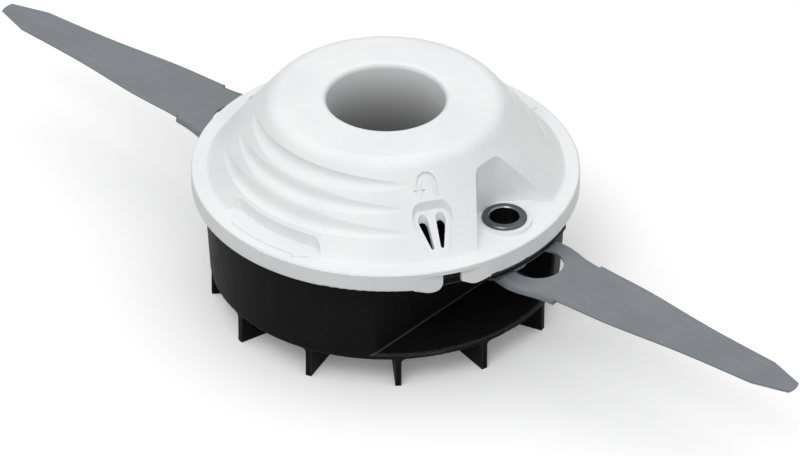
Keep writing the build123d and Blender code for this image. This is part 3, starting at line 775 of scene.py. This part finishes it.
def shared_groups(*names):
    """Shared node groups, each built the first time that it is asked for."""
    makers = {
        "Moulded surface": moulded_surface_group,
        "Streaks": streak_group,
        "Painted edge highlight": edge_highlight_group,
        "Turned surface": turned_surface_group,
        "Wrapped arrow": wrap_tree,
    }
    for name in names:
        if name not in bpy.data.node_groups:
            makers[name]()
    return [bpy.data.node_groups[name] for name in names]


# Studio


def ray_kinds(tree):
    """Masks of the camera's own rays, and of the mirrored and refracted ones."""
    ray = put(tree, "ShaderNodeLightPath")
    mirrored = sums(tree, "MAXIMUM", ray.outputs["Is Glossy Ray"], ray.outputs["Is Transmission Ray"])
    return ray.outputs["Is Camera Ray"], mirrored


def make_floor(settings):
    """A wide floor that keeps the head's shadow and is seen white, but lights the head less."""
    mesh = bpy.data.meshes.new("floor")
    corners = [(FLOOR_REACH * x, FLOOR_REACH * y, 0.0) for x, y in ((-1, -1), (1, -1), (1, 1), (-1, 1))]
    mesh.from_pydata(corners, [], [(0, 1, 2, 3)])
    floor = add_object("floor", mesh)
    material, tree, shader = new_material("Floor")
    tree.nodes.remove(shader)
    direct, mirrored = ray_kinds(tree)
    seen = sums(tree, "MAXIMUM", direct, mirrored)
    matt = put(tree, "ShaderNodeBsdfDiffuse")
    colour = blend_colours(tree, seen, settings.floor_bounce, settings.floor_seen)
    tree.links.new(colour, matt.inputs["Color"])
    glow = put(tree, "ShaderNodeEmission", {"Color": (1.0, 1.0, 1.0, 1.0)})
    tree.links.new(sums(tree, "MULTIPLY", seen, settings.floor_glow), glow.inputs["Strength"])
    both = put(tree, "ShaderNodeAddShader")
    tree.links.new(matt.outputs[0], both.inputs[0])
    tree.links.new(glow.outputs[0], both.inputs[1])
    tree.links.new(both.outputs[0], tree.nodes["Material Output"].inputs["Surface"])
    floor.data.materials.append(material)


def add_lamp(name, strength, spread, tilt, turn):
    """A distant lamp that leans from overhead by tilt, towards the side that turn gives."""
    lamp = bpy.data.lights.new(name, "SUN")
    lamp.energy = strength
    lamp.angle = spread
    add_object(name, lamp).rotation_euler = (0.0, tilt, turn)


def make_light(settings):
    """One wide soft lamp, a small one for highlights, and an even world."""
    add_lamp("overhead", settings.lamp, settings.lamp_spread, settings.lamp_tilt, settings.lamp_turn)
    add_lamp("key", settings.key, settings.key_spread, settings.key_tilt, settings.key_turn)
    world = bpy.data.worlds.new("Studio")
    world.use_nodes = True
    tree = world.node_tree
    background = tree.nodes["Background"]
    background.inputs["Color"].default_value = (1.0, 1.0, 1.0, 1.0)
    direct, mirrored = ray_kinds(tree)
    shown = sums(tree, "MAXIMUM", direct, sums(tree, "MULTIPLY", mirrored, settings.reflected))
    tree.links.new(sums(tree, "MAXIMUM", shown, settings.ambient), background.inputs["Strength"])
    bpy.context.scene.world = world


def make_camera(settings):
    """The camera at the photograph's place, with the flange's centre where the photograph has it."""
    look = Vector(
        (
            -sin(settings.azimuth) * cos(settings.elevation),
            cos(settings.azimuth) * cos(settings.elevation),
            -sin(settings.elevation),
        )
    )
    target = Vector((0.0, 0.0, bpy.context.scene.head_arrows.flange))
    right = look.cross(Vector((0.0, 0.0, 1.0))).normalized()
    up = right.cross(look)
    level = Matrix((right, up, -look)).transposed()
    tilt = Matrix.Rotation(settings.roll, 3, "Z")
    focal = settings.lens / SENSOR_WIDTH * FRAME_WIDTH
    across = FLANGE_SEEN_AT[0] - FRAME_WIDTH / 2
    above = FRAME_HEIGHT / 2 - FLANGE_SEEN_AT[1]
    seen_at = Vector((across, above, -focal)).normalized()
    aim = seen_at.rotation_difference(Vector((0.0, 0.0, -1.0))).to_matrix()
    turn = level @ tilt @ aim
    camera_data = bpy.data.cameras.new("camera")
    camera_data.lens = settings.lens
    camera_data.sensor_width = SENSOR_WIDTH
    camera_data.clip_end = 50.0
    camera = add_object("camera", camera_data)
    camera.matrix_world = Matrix.Translation(target - look * settings.distance) @ turn.to_4x4()
    bpy.context.scene.camera = camera


# Operators


class HEAD_OT_cap(bpy.types.Operator):
    """Give the wear cap its white nylon"""

    bl_idname = "trimmer_head.cap"
    bl_label = "Finish wear cap"

    def execute(self, context):
        """Make the nylon and put it on the cap."""
        groups = shared_groups("Moulded surface", "Turned surface")
        give_material("wear_cap", cap_nylon(context.scene.head_cap, *groups))
        return {"FINISHED"}


class HEAD_OT_base(bpy.types.Operator):
    """Give the fan base its black nylon"""

    bl_idname = "trimmer_head.base"
    bl_label = "Finish fan base"

    def execute(self, context):
        """Make the nylon and put it on the base."""
        groups = shared_groups("Moulded surface", "Streaks", "Painted edge highlight", "Turned surface")
        give_material("base_housing", base_nylon(context.scene.head_base, *groups))
        return {"FINISHED"}


class HEAD_OT_blades(bpy.types.Operator):
    """Give both blades their grey nylon"""

    bl_idname = "trimmer_head.blades"
    bl_label = "Finish blades"

    def execute(self, context):
        """Make the nylon and put it on both blades."""
        groups = shared_groups("Moulded surface", "Streaks")
        material = blade_nylon(context.scene.head_blade, *groups)
        for name in ("blade_1", "blade_2"):
            give_material(name, material)
        return {"FINISHED"}


class HEAD_OT_steel(bpy.types.Operator):
    """Give the pins and the hub's pieces their steel"""

    bl_idname = "trimmer_head.steel"
    bl_label = "Finish steel pieces"

    def execute(self, context):
        """Make the two steels and put them on the pins, bush, washer and nut."""
        look = context.scene.head_steel
        turned, moulded = shared_groups("Turned surface", "Moulded surface")
        for name in ("pivot_pin_1", "pivot_pin_2"):
            low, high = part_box(name)
            centre = ((low[0] + high[0]) / 2, (low[1] + high[1]) / 2, 0.0)
            give_material(name, pin_steel(f"Pin steel {name[-1]}", look, turned, centre))
        blued = hub_steel(look, turned, moulded)
        for name in ("drive_bush", "clamp_washer", "lock_nut"):
            give_material(name, blued)
        return {"FINISHED"}


class HEAD_OT_line_arrows(bpy.types.Operator):
    """Cut the U-turn arrow over each line pocket into the wear cap"""

    bl_idname = "trimmer_head.line_arrows"
    bl_label = "Cut line arrows"

    def execute(self, context):
        """Draw the arrow flat, wrap it on the dome's flank and cut it out of a copy of the cap."""
        sizes = context.scene.head_arrows
        turns = [radians(step * 180 / ARCH_STEPS) for step in range(ARCH_STEPS + 1)]
        arch = [
            Vector((sizes.arch_half * cos(turn), sizes.arch_foot - sizes.arch_height * sin(turn)))
            for turn in turns
        ]
        far_end = Vector((sizes.arch_half, sizes.head_start + sizes.far_leg))
        near_end = Vector((-sizes.arch_half, sizes.head_start))
        swell = [1.0 + sizes.arch_swell * sin(turn) for turn in turns]
        widths = [sizes.line_band * share for share in (1.0, *swell, 1.0)]
        middle = [far_end, *arch, near_end]
        outline = band_outline(middle, widths, sizes.line_head_half, sizes.line_head_length)
        place = {
            "Start Radius": sizes.dome_corner,
            "Start Level": sizes.plateau,
            "Slope": atan2(sizes.plateau - sizes.flange, sizes.dome_foot - sizes.dome_corner),
            "Turn": sizes.line_turn,
            "Sink": sizes.line_depth,
        }
        cutter = wrap_arrows("line_arrows", outline, sizes, place)
        cap = cut_copy("wear_cap", cutter, "cap_with_arrows")
        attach(cap, "head")
        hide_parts("wear_cap")
        return {"FINISHED"}


class HEAD_OT_spin_arrows(bpy.types.Operator):
    """Raise a spin arrow on the floor of each label recess"""

    bl_idname = "trimmer_head.spin_arrows"
    bl_label = "Raise spin arrows"

    def execute(self, context):
        """Draw a long arrow flat and wrap it on the flange."""
        sizes = context.scene.head_arrows
        half = sizes.spin_radius * sizes.spin_reach
        middle = [Vector((half * (2 * step / SPIN_STEPS - 1), 0.0)) for step in range(SPIN_STEPS)]
        widths = [sizes.spin_band] * SPIN_STEPS
        outline = band_outline(middle, widths, sizes.spin_head_half, sizes.spin_head_length)
        place = {
            "Start Radius": sizes.spin_radius,
            "Start Level": sizes.flange,
            "Slope": 0.0,
            "Turn": sizes.spin_turn,
            "Sink": sizes.sink,
        }
        arrows = wrap_arrows("spin_arrows", outline, sizes, place)
        round_edges(arrows, sizes.edge_round)
        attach(arrows, "head")
        return {"FINISHED"}


class HEAD_OT_stage(bpy.types.Operator):
    """Set up the pale floor, the soft light and the camera"""

    bl_idname = "trimmer_head.stage"
    bl_label = "Set up studio"

    def execute(self, context):
        """Make the floor, the lamp, the world and the camera."""
        settings = context.scene.head_studio
        make_floor(settings)
        make_light(settings)
        make_camera(settings)
        context.scene.view_settings.view_transform = "Standard"
        return {"FINISHED"}


# Panel and registration


class HEAD_PT_panel(bpy.types.Panel):
    """Lists the head's operators and settings"""

    bl_label = "Trimmer Head"
    bl_idname = "HEAD_PT_panel"
    bl_space_type = "VIEW_3D"
    bl_region_type = "UI"
    bl_category = "Trimmer Head"

    def draw(self, context):
        """Draw the operators, then the settings."""
        column = self.layout.column(align=True)
        for operator in OPERATORS:
            column.operator(operator.bl_idname)
        for name in SETTINGS:
            settings = getattr(context.scene, name)
            box = self.layout.box()
            box.label(text=settings.bl_rna.description)
            for field in settings.__annotations__:
                box.prop(settings, field)


OPERATORS = (
    HEAD_OT_cap,
    HEAD_OT_base,
    HEAD_OT_blades,
    HEAD_OT_steel,
    HEAD_OT_line_arrows,
    HEAD_OT_spin_arrows,
    HEAD_OT_stage,
)
SETTINGS = {
    "head_cap": CapLook,
    "head_base": BaseLook,
    "head_blade": BladeLook,
    "head_steel": SteelLook,
    "head_arrows": ArrowSizes,
    "head_studio": StudioSettings,
}


def register():
    """Register the classes and hang the settings on the scene."""
    for name, group in SETTINGS.items():
        bpy.utils.register_class(group)
        setattr(bpy.types.Scene, name, PointerProperty(type=group))
    for operator in OPERATORS:
        bpy.utils.register_class(operator)
    bpy.utils.register_class(HEAD_PT_panel)


def unregister():
    """Take the classes and settings away again."""
    bpy.utils.unregister_class(HEAD_PT_panel)
    for operator in reversed(OPERATORS):
        bpy.utils.unregister_class(operator)
    for name, group in SETTINGS.items():
        delattr(bpy.types.Scene, name)
        bpy.utils.unregister_class(group)


def main():
    """Build everything in order."""
    register()
    bpy.ops.trimmer_head.cap()
    bpy.ops.trimmer_head.base()
    bpy.ops.trimmer_head.blades()
    bpy.ops.trimmer_head.steel()
    bpy.ops.trimmer_head.line_arrows()
    bpy.ops.trimmer_head.spin_arrows()
    bpy.ops.trimmer_head.stage()


if __name__ == "__main__":
    main()
